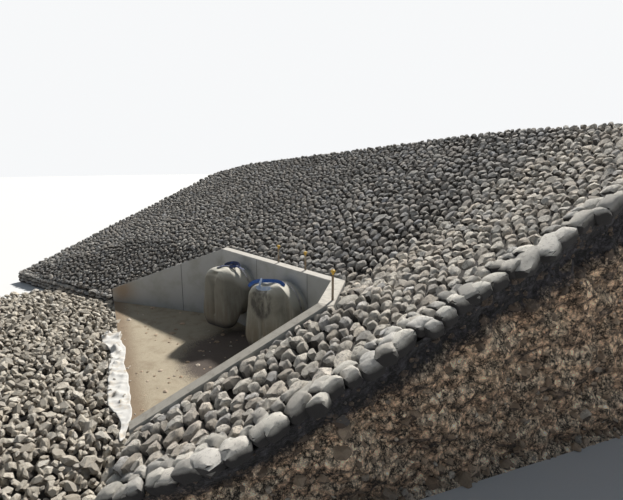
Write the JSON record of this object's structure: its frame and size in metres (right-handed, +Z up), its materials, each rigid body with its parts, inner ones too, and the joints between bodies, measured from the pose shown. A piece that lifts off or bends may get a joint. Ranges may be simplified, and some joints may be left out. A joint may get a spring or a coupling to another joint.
{
  "type": "rock pitching revetment",
  "caption": "Hand-set rock pitching on an embankment slope around a culvert outlet: headwall, splayed wing walls, apron slab, duckbill valves and a loose rock apron.",
  "frame": {"origin": "on the level underside, below the middle of the headwall's front face", "axes": "+Z up; +X along the headwall towards the near wing wall; +Y into the bank, so the water leaves towards -Y"},
  "size_m": [24.2079, 16.86, 6.953],
  "materials": {
    "bank_fill": "packed grey-brown spoil and crushed rock",
    "cap_plastic": "yellow safety cap, faded",
    "clamp_steel": "stainless band, dusty",
    "concrete": "cast concrete, matt, weathered and stained",
    "edge_stone": "large split rock, pale, rough",
    "geotextile": "white felt cloth, creased and dirty",
    "loose_rock": "loose angular rock with earth between",
    "mortar": "trowelled mortar, uneven",
    "picket_steel": "black-coated steel, dusty",
    "pipe_concrete": "precast concrete, smooth",
    "set_stone": "split rock, pale grey and buff, rough",
    "slab_concrete": "cast concrete under a skin of sandy silt",
    "sling_webbing": "woven webbing, worn",
    "valve_rubber": "moulded rubber under buff dust"
  },
  "bodies": {
    "root": {"apron_slab": "slab_concrete", "corner_landing": "mortar", "corner_wall": "concrete", "edge_stones": "edge_stone", "far_pipe": "pipe_concrete", "far_valve": "valve_rubber", "far_valve_clamp": "clamp_steel", "far_valve_sling": "sling_webbing", "far_wing_wall": "concrete", "fill_beside_wing": "bank_fill", "fill_corner_1": "bank_fill", "fill_corner_2": "bank_fill", "fill_corner_3": "bank_fill", "fill_far_bank": "bank_fill", "fill_far_end": "bank_fill", "fill_far_toe": "bank_fill", "fill_near_lower": "bank_fill", "fill_near_upper": "bank_fill", "fill_over_headwall": "bank_fill", "headwall": "concrete", "marker_pickets": "picket_steel", "near_pipe": "pipe_concrete", "near_valve": "valve_rubber", "near_valve_clamp": "clamp_steel", "near_valve_sling": "sling_webbing", "near_wing_wall": "concrete", "picket_caps": "cap_plastic", "pitching_beside_wing": "set_stone", "pitching_corner_1": "set_stone", "pitching_corner_2": "set_stone", "pitching_corner_3": "set_stone", "pitching_far_bank": "set_stone", "pitching_far_end": "set_stone", "pitching_far_toe": "set_stone", "pitching_near_lower": "set_stone", "pitching_near_upper": "set_stone", "pitching_over_headwall": "set_stone", "rock_apron": "loose_rock", "separation_cloth": "geotextile"}
  },
  "joints": []
}
